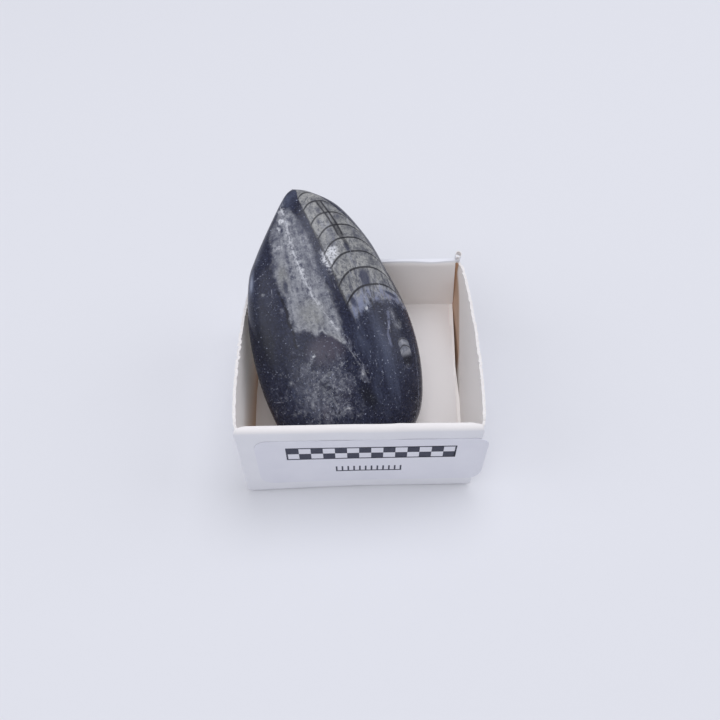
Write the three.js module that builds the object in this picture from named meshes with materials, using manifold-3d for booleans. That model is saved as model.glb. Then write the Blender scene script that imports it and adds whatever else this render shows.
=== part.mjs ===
// A polished orthoceras fossil leaning in a small folded card specimen tray with a label on its front.
// Millimetres, +Z up. The origin is the centre of the tray's flat underside, and the labelled front faces -Y.
// The stone lies back on the tray floor, the left wall's top edge and the back wall's top fold.

import * as THREE from 'three';
import { mergeVertices } from 'three/addons/utils/BufferGeometryUtils.js';
import Module from 'manifold-3d';

// Tray
const trayWidth = 40;
const trayDepth = 38;
const trayHeight = 20;
const cardThickness = 0.45;
const rolledThickness = 1.35;
const foldStep = 0.05;
const rollInset = 0.2;
const rawEdgeDrop = 0.25;
const cornerNick = 0.5;
const cornerTuck = 0.3;
const wallFoot = 1.5;
const wallColumns = 14;

// How the side walls lean and bulge at their raw top edges
const leftBulge = 1.25;
const leftBackInset = 1.1;
const rightFlare = 0.2;
const rightBulge = 0.95;
const rightBulgeFullness = 0.6;

// Floor flaps: the flat one folded in from the front wall, and the sloping liner from the back wall
const flatFlapGap = 0.12;
const flatFlapDepth = 26;
const linerGapLeft = 0.3;
const linerGapRight = 0.22;
const linerFoldHeight = 7.9;
const linerTouchDepth = 11;
const linerFrontGap = 0.6;
const pressedIn = 0.1;

// Raised cut end of the back roll
const loopRadius = 0.6;
const loopHole = 0.25;
const loopRise = 1.5;
const loopInset = 0.9;
const loopDepth = 1;
const loopRoot = 1;

// Label
const labelWidth = 38.6;
const labelHeight = 13.8;
const labelCorner = 2.4;
const labelThickness = 0.2;
const labelGap = 0.05;
const labelRightEnd = 21.4;
const labelBottom = 2.9;

// Stone, in its own frame: +Y from the blunt foot to the tip, +Z out of the polished crown
const stoneLength = 50.6;
const crownRatio = 0.52;
const backRatioFoot = 0.5;
const backRatioTip = 0.36;
const leftOutline = [
  [2, 0], [-5.5, 1.6], [-9.4, 5.2], [-11.3, 10.5], [-12.5, 17.5], [-12.6, 26],
  [-10.9, 34.6], [-8.7, 39.2], [-4.7, 45.4], [-1.7, 49.4], [0, stoneLength],
];
const rightOutline = [
  [2, 0], [9.5, 1.2], [13.9, 4.6], [16.1, 9.5], [17, 17], [16.3, 25],
  [14, 33], [11.8, 39.3], [7.8, 46], [3.2, 49.5], [0, stoneLength],
];
const stoneLean = 31.3;
const stoneRoll = 8;
const stoneYaw = 10.6;
const stoneFoot = new THREE.Vector3(-2.2, -16.3, 4.35);

const wasm = await Module();
wasm.setup();

const half = { x: trayWidth / 2, y: trayDepth / 2 };

function toSolid(geometry) {
  const bare = geometry.clone();
  bare.deleteAttribute('normal');
  bare.deleteAttribute('uv');
  const merged = mergeVertices(bare, 1e-4);
  return new wasm.Manifold(new wasm.Mesh({
    numProp: 3,
    vertProperties: new Float32Array(merged.attributes.position.array),
    triVerts: new Uint32Array(merged.index.array),
  }));
}

function toGeometry(solid) {
  const mesh = solid.getMesh();
  const geometry = new THREE.BufferGeometry();
  geometry.setAttribute('position', new THREE.BufferAttribute(new Float32Array(mesh.vertProperties), 3));
  geometry.setIndex(new THREE.BufferAttribute(new Uint32Array(mesh.triVerts), 1));
  geometry.computeVertexNormals();
  return geometry;
}

// Moves every vertex by a rule.
function reshape(geometry, rule) {
  const position = geometry.attributes.position;
  const point = new THREE.Vector3();
  for (let i = 0; i < position.count; i += 1) {
    point.fromBufferAttribute(position, i);
    rule(point);
    position.setXYZ(i, point.x, point.y, point.z);
  }
  return geometry;
}

// Extrudes a side profile drawn as (y, z) along X, from xStart to xEnd.
function alongX(profile, xStart, xEnd, curveSegments = 8) {
  const geometry = new THREE.ExtrudeGeometry(profile, {
    depth: xEnd - xStart, bevelEnabled: false, steps: 1, curveSegments,
  });
  return reshape(geometry, (p) => p.set(p.z + xStart, p.x, p.y));
}

// How far a wall has leaned at a height: nothing up to its foot, all of it at the top.
function lean(z) {
  return Math.max(0, z - wallFoot) / (trayHeight - wallFoot);
}

// A front or back wall: the card folded over itself, with a round top.
function rolledWall(yFront, leftInset) {
  const radius = rolledThickness / 2;
  const end = half.x - rollInset;
  const yBack = yFront + rolledThickness;
  const profile = new THREE.Shape();
  profile.moveTo(yFront, cardThickness / 2);
  profile.lineTo(yBack, cardThickness / 2);
  profile.lineTo(yBack, wallFoot);
  profile.lineTo(yBack, trayHeight - radius);
  profile.absarc(yFront + radius, trayHeight - radius, radius, 0, Math.PI, false);
  profile.lineTo(yFront, wallFoot);
  profile.lineTo(yFront, cardThickness / 2);
  return reshape(alongX(profile, -end, end), (p) => {
    p.x += p.x < 0 ? leftInset * lean(p.z) : 0;
  });
}

// A side wall: one thickness of card, straight at its foot, with a raw cut top that bulges outwards.
// Its two top corners are nicked just inside the rolled walls.
function sideWall(side) {
  const top = trayHeight - rawEdgeDrop;
  const rows = [cardThickness / 2, wallFoot, wallFoot + (top - wallFoot) / 2, top];
  const open = half.y - foldStep - rolledThickness;
  const ends = [open + cornerTuck, open - cornerNick];
  const wall = new THREE.BoxGeometry(cardThickness, 2, 2, 1, wallColumns, rows.length - 1);
  return reshape(wall, (p) => {
    const column = Math.round((p.y + 1) / 2 * wallColumns);
    const row = Math.round((p.z + 1) / 2 * (rows.length - 1));
    const fromEnd = Math.min(column, wallColumns - column);
    const inner = (open - 2 * cornerNick) * (2 * (column - 2) / (wallColumns - 4) - 1);
    p.y = fromEnd < 2 ? Math.sign(p.y) * ends[fromEnd] : inner;
    p.z = rows[row] - (row === rows.length - 1 && fromEnd < 2 ? cornerNick : 0);
    const along = THREE.MathUtils.clamp((p.y + open) / (2 * open), 0, 1);
    const arch = Math.sin(Math.PI * along);
    const topShift = side < 0
      ? leftBackInset * along - leftBulge * arch
      : rightFlare + rightBulge * Math.pow(arch, rightBulgeFullness);
    p.x += side * (half.x - foldStep - cardThickness / 2) + topShift * lean(p.z);
  });
}

function base() {
  const plate = new THREE.BoxGeometry(trayWidth, trayDepth, cardThickness);
  return plate.translate(0, 0, cardThickness / 2);
}

// The front wall's floor flap, flat on the base and pressed against it.
function flatFlap() {
  const width = trayWidth - 2 * (foldStep + cardThickness + flatFlapGap);
  const thickness = cardThickness + pressedIn;
  const plate = new THREE.BoxGeometry(width, flatFlapDepth, thickness);
  const yFront = -half.y + rolledThickness / 2;
  return plate.translate(0, yFront + flatFlapDepth / 2, 2 * cardThickness - thickness / 2);
}

// The back wall's floor flap: it springs up, so it slopes from the back wall down to the floor.
function liner() {
  const back = half.y - rolledThickness / 2;
  const touch = -half.y + linerTouchDepth;
  const front = -half.y + rolledThickness + linerFrontGap;
  const underside = 2 * cardThickness - pressedIn;
  const topside = 3 * cardThickness;
  const profile = new THREE.Shape();
  profile.moveTo(front, underside);
  profile.lineTo(touch, underside);
  profile.lineTo(back, linerFoldHeight - cardThickness);
  profile.lineTo(back, linerFoldHeight);
  profile.lineTo(touch, topside);
  profile.lineTo(front, topside);
  profile.lineTo(front, underside);
  const wallFace = half.x - foldStep - cardThickness;
  return alongX(profile, linerGapLeft - wallFace, wallFace - linerGapRight);
}

// The end of the back roll sprung open into a small standing loop.
function rollLoop() {
  const outline = new THREE.Shape();
  outline.moveTo(loopRadius, -loopRoot);
  outline.lineTo(loopRadius, loopRise - loopRadius);
  outline.absarc(0, loopRise - loopRadius, loopRadius, 0, Math.PI, false);
  outline.lineTo(-loopRadius, -loopRoot);
  outline.lineTo(loopRadius, -loopRoot);
  const hole = new THREE.Path();
  hole.absarc(0, loopRise - loopRadius, loopHole, 0, 2 * Math.PI, true);
  outline.holes.push(hole);
  const ring = new THREE.ExtrudeGeometry(outline, { depth: loopDepth, bevelEnabled: false, curveSegments: 8 });
  ring.rotateX(Math.PI / 2);
  const yBack = half.y - (rolledThickness - loopDepth) / 2;
  return ring.translate(half.x - loopInset, yBack, trayHeight);
}

function cardTrayGeometry() {
  const pieces = [
    rolledWall(foldStep - half.y, 0),
    rolledWall(half.y - foldStep - rolledThickness, leftBackInset),
    sideWall(-1), sideWall(1), flatFlap(), liner(), rollLoop(),
  ];
  const solid = pieces.reduce((whole, piece) => whole.add(toSolid(piece)), toSolid(base()));
  return toGeometry(solid);
}

function labelGeometry() {
  const w = labelWidth;
  const h = labelHeight;
  const r = labelCorner;
  const outline = new THREE.Shape();
  outline.moveTo(r, 0);
  outline.lineTo(w - r, 0);
  outline.absarc(w - r, r, r, -Math.PI / 2, 0, false);
  outline.lineTo(w, h - r);
  outline.absarc(w - r, h - r, r, 0, Math.PI / 2, false);
  outline.lineTo(r, h);
  outline.absarc(r, h - r, r, Math.PI / 2, Math.PI, false);
  outline.lineTo(0, r);
  outline.absarc(r, r, r, Math.PI, Math.PI * 1.5, false);
  return new THREE.ExtrudeGeometry(outline, { depth: labelThickness, bevelEnabled: false, curveSegments: 6 });
}

// Where an outline lies across the stone at a distance y from its foot.
function outlineReader(points) {
  const curve = new THREE.SplineCurve(points.map(([x, y]) => new THREE.Vector2(x, y)));
  const samples = curve.getPoints(400);
  return (y) => {
    const next = samples.findIndex((sample) => sample.y >= y);
    if (next <= 0) return samples[next < 0 ? samples.length - 1 : 0].x;
    const a = samples[next - 1];
    const b = samples[next];
    return THREE.MathUtils.lerp(a.x, b.x, (y - a.y) / (b.y - a.y));
  };
}

// A sphere drawn out to the outline: each cross-section is half an ellipse for the crown and half for the back.
function stoneGeometry() {
  const left = outlineReader(leftOutline);
  const right = outlineReader(rightOutline);
  const sphere = new THREE.SphereGeometry(1, 48, 36);
  return reshape(sphere, (p) => {
    const ring = Math.hypot(p.x, p.z);
    const across = ring > 1e-6 ? p.x / ring : 0;
    const up = ring > 1e-6 ? p.z / ring : 0;
    const y = stoneLength * (1 + p.y) / 2;
    const middle = (left(y) + right(y)) / 2;
    const halfWidth = ring > 1e-6 ? (right(y) - left(y)) / 2 : 0;
    const backRatio = THREE.MathUtils.lerp(backRatioFoot, backRatioTip, y / stoneLength);
    const ratio = up > 0 ? crownRatio : backRatio;
    p.set(middle + halfWidth * across, y, halfWidth * ratio * up);
  });
}

function named(name, geometry, material) {
  const mesh = new THREE.Mesh(geometry, material);
  mesh.name = name;
  return mesh;
}

const card = new THREE.MeshStandardMaterial({ color: '#e8e7e8', roughness: 0.8, metalness: 0 });
const film = new THREE.MeshStandardMaterial({ color: '#dfe1ea', roughness: 0.4, metalness: 0 });
const limestone = new THREE.MeshStandardMaterial({ color: '#34363f', roughness: 0.25, metalness: 0 });

const cardTray = named('card_tray', cardTrayGeometry(), card);

const label = named('label', labelGeometry(), film);
label.rotation.x = Math.PI / 2;
label.position.set(labelRightEnd - labelWidth, -half.y - labelGap, labelBottom);

const stone = named('fossil_stone', toGeometry(toSolid(stoneGeometry())), limestone);
stone.rotation.set(
  THREE.MathUtils.degToRad(stoneLean),
  THREE.MathUtils.degToRad(stoneRoll),
  THREE.MathUtils.degToRad(stoneYaw),
);
stone.position.copy(stoneFoot);

const group = new THREE.Group();
group.add(cardTray, label, stone);

export default group;
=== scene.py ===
import math
import random

import bpy
import numpy as np
from mathutils import Matrix, Vector


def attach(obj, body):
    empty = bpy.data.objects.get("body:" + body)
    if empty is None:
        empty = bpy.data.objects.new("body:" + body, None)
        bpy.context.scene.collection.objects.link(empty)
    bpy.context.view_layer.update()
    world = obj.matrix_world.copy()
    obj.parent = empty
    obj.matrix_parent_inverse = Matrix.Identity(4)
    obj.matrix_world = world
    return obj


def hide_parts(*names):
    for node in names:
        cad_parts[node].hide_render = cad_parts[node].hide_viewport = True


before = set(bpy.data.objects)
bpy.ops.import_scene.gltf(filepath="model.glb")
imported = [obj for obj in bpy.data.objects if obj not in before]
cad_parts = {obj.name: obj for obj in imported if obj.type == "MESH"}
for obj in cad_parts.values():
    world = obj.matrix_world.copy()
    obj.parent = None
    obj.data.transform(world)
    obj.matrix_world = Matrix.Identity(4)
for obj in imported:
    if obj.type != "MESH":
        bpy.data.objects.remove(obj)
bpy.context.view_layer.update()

mm = 0.001


# an sRGB hex colour as the linear colour that sockets take
def toLinear(hexColour):
    channels = [int(hexColour[i:i + 2], 16) / 255 for i in (1, 3, 5)]
    linear = [c / 12.92 if c <= 0.04045 else ((c + 0.055) / 1.055) ** 2.4 for c in channels]
    return (*linear, 1.0)


# adds one node; inputs maps a socket name or number to a value, an output to link, or a node,
# which stands for its first output; stops are a colour ramp's positions and colours
def addNode(tree, kind, inputs=None, stops=(), **settings):
    node = tree.nodes.new(kind)
    for name, value in settings.items():
        setattr(node, name, value)
    for key, value in (inputs or {}).items():
        if isinstance(value, bpy.types.Node):
            value = value.outputs[0]
        if isinstance(value, bpy.types.NodeSocket):
            tree.links.new(value, node.inputs[key])
        else:
            node.inputs[key].default_value = value
    if stops:
        elements = node.color_ramp.elements
        while len(elements) < len(stops):
            elements.new(0.5)
        for element, (position, colour) in zip(elements, stops):
            element.position = position
            element.color = toLinear(colour)
    return node


# a material whose surface takes the inputs that a function lays out in its tree
def makeMaterial(name, surfaceInputs):
    material = bpy.data.materials.new(name)
    material.use_nodes = True
    tree = material.node_tree
    tree.nodes.clear()
    surface = addNode(tree, "ShaderNodeBsdfPrincipled", surfaceInputs(tree))
    addNode(tree, "ShaderNodeOutputMaterial", {"Surface": surface})
    return material


def meshObject(name, points, faces, materials=()):
    mesh = bpy.data.meshes.new(name)
    mesh.from_pydata([tuple(p) for p in points], [], faces)
    for material in materials:
        mesh.materials.append(material)
    obj = bpy.data.objects.new(name, mesh)
    bpy.context.scene.collection.objects.link(obj)
    return obj


# turns an object with live modifiers into a plain mesh
def makePlain(obj):
    evaluated = obj.evaluated_get(bpy.context.evaluated_depsgraph_get())
    mesh = bpy.data.meshes.new_from_object(evaluated)
    name = obj.name
    bpy.data.objects.remove(obj)
    plain = bpy.data.objects.new(name, mesh)
    bpy.context.scene.collection.objects.link(plain)
    return plain


def shadeSmooth(obj, angle=None):
    for polygon in obj.data.polygons:
        polygon.use_smooth = True
    if angle is not None:
        obj.data.set_sharp_from_angle(angle=math.radians(angle))


# a mesh's points, or the normals at them, as rows of (x, y, z)
def readPoints(mesh, kind="co"):
    flat = np.empty(len(mesh.vertices) * 3)
    mesh.vertices.foreach_get(kind, flat)
    return flat.reshape(-1, 3)


def writePoints(mesh, points):
    mesh.vertices.foreach_set("co", np.ascontiguousarray(points).ravel())
    mesh.update()


# a smooth curve through a few points, read as (across, along)
def smoothOutline(points, samples=400):
    p = np.array(points, float)
    before = np.vstack([p[:1], p[:-1]])
    after = np.vstack([p[1:], p[-1:]])
    slope = (after - before) / 2
    result = []
    for i in range(len(p) - 1):
        for t in np.linspace(0, 1, samples // (len(p) - 1), endpoint=False):
            result.append(
                (2 * t**3 - 3 * t**2 + 1) * p[i] + (t**3 - 2 * t**2 + t) * slope[i]
                + (3 * t**2 - 2 * t**3) * p[i + 1] + (t**3 - t**2) * slope[i + 1])
    result.append(p[-1])
    return np.array(result)


# how far across an outline lies at each place along it
def readAcross(outline, along):
    order = np.argsort(outline[:, 1], kind="stable")
    return np.interp(along, outline[order, 1], outline[order, 0])


# the stone in its own frame, in mm: +Y runs from the blunt foot to the tip, +Z out of the crown
stone = {
    "length": 50.6,
    "crownRatio": 0.52,  # height of the crown over half the width
    "backRatioFoot": 0.5, "backRatioTip": 0.36,
    "leftOutline": [(2, 0), (-5.5, 1.6), (-9.4, 5.2), (-11.3, 10.5), (-12.5, 17.5), (-12.6, 26),
                    (-11.1, 34.6), (-8.85, 39.2), (-4.7, 45.4), (-1.7, 49.4), (0, 50.6)],
    "rightOutline": [(2, 0), (9.5, 1.2), (13.9, 4.6), (16.1, 9.5), (17, 17), (16.3, 25),
                     (14, 33), (11.8, 39.3), (7.8, 46), (3.2, 49.5), (0, 50.6)],
    "lean": 31.3, "roll": 8, "yaw": 10.6,  # degrees
    "foot": (-2.2, -16.3, 4.35),
    "rings": 300, "sectors": 296,
    "underDrift": 0.55,  # how far the shells lie sideways for each mm below the rim
}

# the straight shell, cut lengthwise: each chamber wall by the height of its crest, with the
# shell's middle, half width and how far the wall's ends hang below the crest
shell = {
    "crests": [49.15, 47.0, 44.4, 41.75, 39.05, 36.3, 33.15, 29.8],
    "middles": [2.4, 3.7, 5.25, 6.5, 7.3, 8.15, 8.9, 9.9],
    "halfWidths": [2.0, 2.85, 3.75, 4.35, 4.7, 4.85, 5.1, 5.3],
    "hangs": [1.15, 1.6, 2.15, 2.45, 2.7, 2.55, 3.05, 2.95],
    "fullness": 2.7,
    # past its end walls the shell drifts sideways, changes width and goes on in even chambers
    "belowDrift": 0.3, "belowWiden": 0.03, "belowChamber": 3.2,
    "aboveDrift": 1.0, "aboveNarrow": 1.1, "aboveChamber": 2.0,
    "settleRounds": 6,
    "tubeMiddle": [(3.8, 47.2), (4.2, 46), (4.95, 44.1), (5.75, 41.7), (6.3, 39.5), (7.0, 37.8), (7.6, 35)],
    "tubeHalfWidth": 0.5,
}

# second, weathered shell filled with grey calcite, and the veins, each a line of (across, along)
calcite = {
    "top": 46.4,
    "leftEdge": [(-3.2, 46.6), (-4.6, 44.4), (-5.8, 42), (-6.3, 38.6), (-6.7, 35.4), (-6.5, 32.4), (-6, 30.6),
                 (-5.5, 27.6), (-5.3, 25.8), (-5.2, 21)],
    "rightEdge": [(-1.7, 46.6), (-0.5, 43.9), (0.3, 41.6), (0.8, 39.2), (1.0, 35.9), (1.3, 33.4), (1.8, 31),
                  (2.3, 28.5), (2.8, 25.1), (2.8, 21.8), (3.0, 19.5)],
    "lowerEnd": [(-6.6, 24.6), (-5, 23.7), (-3.1, 23.6), (-1.8, 22.4), (-0.6, 23), (0.2, 22), (1.2, 21.4),
                 (2.9, 19.8)],
    "fibre": [(-2.9, 46.9), (-2.7, 44.5), (-2.7, 41.7), (-2.8, 39), (-2.5, 36.6), (-2.1, 34.6), (-1.7, 32.3),
              (-1.1, 29.7), (-0.3, 27.4), (0.9, 25.1), (1.7, 23.1), (2.2, 21.3), (3.1, 19.6), (4.2, 17.2),
              (4.8, 15.4), (5.2, 13.4), (6.3, 9)],
    "edgeCrack": [(-6.7, 32), (-6.1, 29.2), (-5.75, 27.6), (-5.8, 25.5), (-5.4, 23.6), (-5.5, 22), (-5, 20)],
    "chamberCrack": [(8.7, 29.2), (8.7, 28.1), (8.95, 27.2), (9.05, 26.3), (9.2, 25.2), (9.3, 24.4)],
    "wispA": [(11.6, 24.8), (11.6, 23.9), (11.5, 22.9), (10.9, 21.2), (10.8, 19.4), (11.1, 18)],
    # a pale line along the right rim, painted as the highlight of a bevel
    "rimGlintLine": [(15.6, 19), (15.5, 16), (15.2, 13), (14.5, 8.5), (13.5, 5.5)],
    "smallShellMiddle": [(13.3, 22), (13.4, 19), (13.6, 16), (13.6, 13)],
    "smallCrests": [19.5, 18.25],
}

# clouds and flecks in the cut face: across, along, half width, half length, turn, strength
clouds = {
    "haze": [(9.3, 17.5, 1.7, 7.5, 6, 0.72), (9.9, 12.8, 2.6, 3.6, 8, 0.5),
             (5.4, 22.4, 2.6, 2.4, 0, 0.3), (0.3, 49.4, 1.5, 1.6, 0, 0.7),
             # the oval at (-10.65, 34) is a painted highlight, a pale streak along the left rim standing in
             # for a reflection
             (-9.4, 34, 1.0, 5, -6, 0.14), (-10.65, 34, 0.42, 2.4, -14, 1.3), (6.0, 19.6, 1.5, 3.6, 14, 0.55),
             (-8.4, 38.6, 0.6, 2.6, -24, 0.5), (-5.6, 11, 2.2, 5, 0, 0.5),
             (8.2, 9.5, 2.2, 3.2, 0, 0.4), (-1.6, 48.2, 1.6, 1.8, 0, 0.8), (1.6, 34.6, 0.8, 3.2, 8, 0.5),
             (-7.4, 37.5, 0.8, 3, -5, 0.25)],
    "pale": [(-1.6, 12.8, 6.0, 6.6, 0, 0.95), (-3.6, 18.2, 2.3, 0.6, 38, 0.9), (1.2, 16.8, 2.8, 2.4, 0, 0.8),
             (-2.4, 8.9, 0.42, 1.6, 0, 1.2), (1.1, 9.6, 0.9, 0.4, 10, 1.2), (5.0, 15.2, 0.5, 1.6, 0, 0.8),
             (12.4, 23.9, 0.4, 1.0, 14, 1.35), (13, 22, 0.6, 0.8, 0, 1.45), (-9.1, 31.4, 0.35, 0.22, 0, 1.7),
             (2.8, 20.0, 0.7, 1.3, 30, 1.1), (-2.8, 19.2, 0.7, 0.5, 0, 1.1), (5.9, 25.2, 0.35, 1.5, 10, 0.9),
             (2.2, 22.4, 0.6, 1.6, 30, 1.0), (-5.4, 26.4, 0.3, 1.4, 0, 1.1), (13.4, 14.6, 0.9, 0.3, 20, 0.7),
             (-6.6, 27.5, 0.4, 0.8, 0, 1.0), (1.9, 35.2, 0.7, 2.2, 12, 0.9), (3.4, 32, 0.6, 2.0, 14, 0.5)],
    "granular": [(7.2, 27, 1.4, 1.5, 8, 1.25), (5.7, 24.9, 0.4, 0.9, 0, 0.9), (8.4, 28.4, 0.6, 0.9, 0, 0.8)],
    "rosy": [(11.3, 28.2, 0.9, 0.8, -30, 1.1), (12.9, 27.2, 0.9, 0.7, -35, 1.0),
             (14.3, 26.9, 0.8, 0.4, -50, 0.9)],
    "dark": [(5.2, 10.6, 1.3, 2.6, 22, 1.0), (13.9, 22.8, 1.2, 2.6, 10, 0.6), (14, 8, 2.0, 5.5, 5, 0.6),
             (-10.4, 23.5, 2.4, 7.5, 3, 0.76), (-7.6, 19, 1.6, 5.5, 0, 0.5), (0.2, 45.6, 0.8, 2.2, 10, 0.5),
             (4.9, 26.9, 0.5, 1.0, 0, 0.9), (10.4, 26.2, 1.2, 0.8, 0, 0.6)],
    "shade": [(8.8, 31.1, 0.8, 1.5, 8, 1.2), (6.9, 37.2, 0.5, 1.0, 12, 0.9), (5.7, 27.2, 0.5, 1.3, 18, 0.9),
              (-5.1, 32.0, 0.4, 1.4, 0, 0.9), (-0.2, 35, 0.6, 1.7, 0, 0.6), (-3.8, 42.3, 0.3, 0.5, 0, 0.8),
              (-0.4, 42, 0.9, 3, 6, 0.5), (10.6, 35.5, 0.8, 2.5, 20, 0.5), (5.2, 41.8, 0.4, 0.9, 15, 0.5),
              (13.1, 27.7, 1.3, 0.28, -32, 1.2), (13.6, 26.1, 1.0, 0.25, -42, 1.0),
              (8.0, 44.8, 0.8, 2, 30, 0.45),
              (2.9, 42.6, 0.3, 0.6, 0, 0.6), (6.2, 31.2, 0.6, 1.2, 10, 0.4), (3.2, 47.2, 1.2, 0.5, 30, 0.5),
              (3.3, 44.9, 0.5, 1.0, 15, 0.55), (6.7, 43.4, 1.5, 0.8, 25, 0.5),
              (9.2, 39.4, 0.8, 1.6, 25, 0.5)],
    "warm": [(-0.5, 19.8, 3.4, 2.8, 0, 0.95), (-1.8, 26, 3, 3.4, 0, 0.8), (-5.2, 33.6, 1.1, 3.4, 0, 0.8),
             (3, 45.6, 1.2, 1.1, 0, 0.9), (7, 38, 5, 6, 30, 0.5), (14, 6, 2, 4, 0, 0.5),
             (-2.4, 9, 0.8, 1.8, 0, 1.0), (1, 12, 3, 4, 0, 0.5)],
    "white": [(-2.0, 34.4, 0.45, 2.6, 8, 0.6), (3.9, 36.6, 0.9, 0.9, 0, 1.4), (3.0, 35.2, 0.75, 1.5, 8, 1.3),
              (-3.5, 44.2, 0.4, 0.4, 0, 1.4),
              (-4.2, 42.7, 0.3, 0.6, 0, 0.9), (-0.2, 28, 0.3, 2.0, 25, 0.45), (-2.7, 39, 0.3, 2.4, 0, 0.4),
              (1.6, 23.6, 0.35, 1.5, 28, 0.6), (-5.0, 29.6, 0.4, 0.3, 0, 0.5), (7.9, 25.7, 0.3, 0.3, 8, 0.9),
              (-4.6, 39.3, 1.1, 0.5, 10, 0.5), (4.9, 15.2, 0.5, 1.8, -6, 0.42),
              (3.6, 18.6, 0.16, 1.6, 22, 0.7), (5.1, 14.0, 0.3, 0.9, 0, 0.3), (-2.8, 19, 0.3, 0.18, 20, 0.9),
              (-2.1, 10.3, 0.2, 0.12, 0, 1.3), (1.3, 9.4, 0.4, 0.16, 10, 0.7),
              (0.9, 16.2, 0.14, 0.25, 20, 0.8),
              (2.2, 15, 0.14, 0.2, 0, 0.8), (-3.2, 46.2, 0.5, 0.5, 0, 0.6)],
}

# fine scratches left by handling
scratches = {
    "seed": 12, "count": 90, "shortest": 0.35, "longest": 1.8,
    "across": (-11, 15), "along": (3, 46), "turn": 0.9, "turnSpread": 0.7,
    # the longest ones, each from (across, along) to (across, along)
    "drawn": [(5.4, 22.5, 7.9, 24.1), (5.2, 21.9, 6.1, 22.9),
              (2.0, 22.6, 5.2, 16.2), (11.2, 24.3, 11.3, 20.8)],
}


def stonePlacing():
    turn = (Matrix.Rotation(math.radians(stone["lean"]), 4, "X")
            @ Matrix.Rotation(math.radians(stone["roll"]), 4, "Y")
            @ Matrix.Rotation(math.radians(stone["yaw"]), 4, "Z"))
    return Matrix.Translation(Vector(stone["foot"])) @ turn


# a sphere drawn out to the outline: each cross-section is half an ellipse for the crown and
# half a lower one for the back; the last two points close the foot and the tip
def stonePoints():
    rings, sectors = stone["rings"], stone["sectors"]
    left = smoothOutline(stone["leftOutline"])
    right = smoothOutline(stone["rightOutline"])
    theta = np.linspace(0, np.pi, rings + 1)[1:-1]
    around = np.linspace(0, 2 * np.pi, sectors, endpoint=False)
    along = stone["length"] * (1 - np.cos(theta)) / 2
    leftX, rightX = readAcross(left, along), readAcross(right, along)
    middle, half = (leftX + rightX) / 2, (rightX - leftX) / 2
    thinning = stone["backRatioTip"] - stone["backRatioFoot"]
    backRatio = stone["backRatioFoot"] + thinning * along / stone["length"]
    up = np.sin(around)
    x = middle[:, None] + half[:, None] * np.cos(around)[None, :]
    ratio = np.where(up[None, :] > 0, stone["crownRatio"], backRatio[:, None])
    z = half[:, None] * ratio * up[None, :]
    y = np.repeat(along[:, None], sectors, axis=1)
    body = np.stack([x, y, z], axis=-1).reshape(-1, 3)
    foot = [[(left[0][0] + right[0][0]) / 2, 0, 0]]
    tip = [[0, stone["length"], 0]]
    return np.vstack([body, foot, tip])


def stoneFaces():
    rows, sectors = stone["rings"] - 1, stone["sectors"]
    faces = []
    for i in range(rows - 1):
        for j in range(sectors):
            k = (j + 1) % sectors
            faces.append((i * sectors + j, (i + 1) * sectors + j, (i + 1) * sectors + k, i * sectors + k))
    foot, tip = rows * sectors, rows * sectors + 1
    for j in range(sectors):
        k = (j + 1) % sectors
        faces.append((foot, j, k))
        faces.append((tip, (rows - 1) * sectors + k, (rows - 1) * sectors + j))
    return faces


# where a point lies along the shell, counted in chambers, and across it from -1 to 1
def shellCoordinates(x, y):
    crests, middles, halfWidths, hangs = (
        np.array(shell[name])[::-1] for name in ("crests", "middles", "halfWidths", "hangs"))
    level = y.copy()
    for settle in range(shell["settleRounds"]):
        below = np.maximum(crests[0] - level, 0)
        above = np.clip(level - crests[-1], 0, 1)
        middle = np.interp(level, crests, middles) + shell["belowDrift"] * below - shell["aboveDrift"] * above
        half = np.interp(level, crests, halfWidths)
        half = half + shell["belowWiden"] * below - shell["aboveNarrow"] * above
        across = np.clip((x - middle) / np.maximum(half, 0.4), -1.6, 1.6)
        hang = np.interp(level, crests, hangs) * np.abs(across) ** shell["fullness"]
        level = 0.4 * level + 0.6 * (y + np.minimum(hang, 5))
    count = np.interp(level, crests, np.arange(len(crests))[::-1].astype(float))
    count += np.maximum(crests[0] - level, 0) / shell["belowChamber"]
    count -= np.maximum(level - crests[-1], 0) / shell["aboveChamber"]
    return count, across


# a value for each point, which a material can read by name
def addAttribute(mesh, name, values):
    values = np.asarray(values, float)
    kind = "FLOAT" if values.ndim == 1 else "FLOAT_VECTOR"
    attribute = mesh.attributes.new(name, kind, "POINT")
    attribute.data.foreach_set("value" if kind == "FLOAT" else "vector", values.ravel())


# how far a point lies to the side of a marking's line
def offsetFrom(points, x, y):
    line = smoothOutline(points, 160)
    return x - readAcross(line, y)


# how strongly a point belongs to a list of soft-edged ovals
def cloudField(ovals, x, y):
    field = np.zeros_like(x)
    for middleX, middleY, halfX, halfY, turn, strength in ovals:
        c, s = math.cos(math.radians(turn)), math.sin(math.radians(turn))
        a = ((x - middleX) * c + (y - middleY) * s) / halfX
        b = ((y - middleY) * c - (x - middleX) * s) / halfY
        field = np.maximum(field, strength * np.exp(-0.7 * (a * a + b * b)))
    return field


# how far a point lies from the nearest scratch
def scratchDistance(x, y):
    rng = random.Random(scratches["seed"])
    lines = list(scratches["drawn"])
    for k in range(scratches["count"]):
        startX, startY = rng.uniform(*scratches["across"]), rng.uniform(*scratches["along"])
        turn = rng.gauss(scratches["turn"], scratches["turnSpread"])
        length = rng.uniform(scratches["shortest"], scratches["longest"])
        lines.append((startX, startY, startX + length * math.cos(turn), startY + length * math.sin(turn)))
    nearest = np.full_like(x, 9.0)
    for ax, ay, bx, by in lines:
        t = np.clip(((x - ax) * (bx - ax) + (y - ay) * (by - ay)) / ((bx - ax) ** 2 + (by - ay) ** 2), 0, 1)
        nearest = np.minimum(nearest, np.hypot(x - ax - t * (bx - ax), y - ay - t * (by - ay)))
    return nearest


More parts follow.
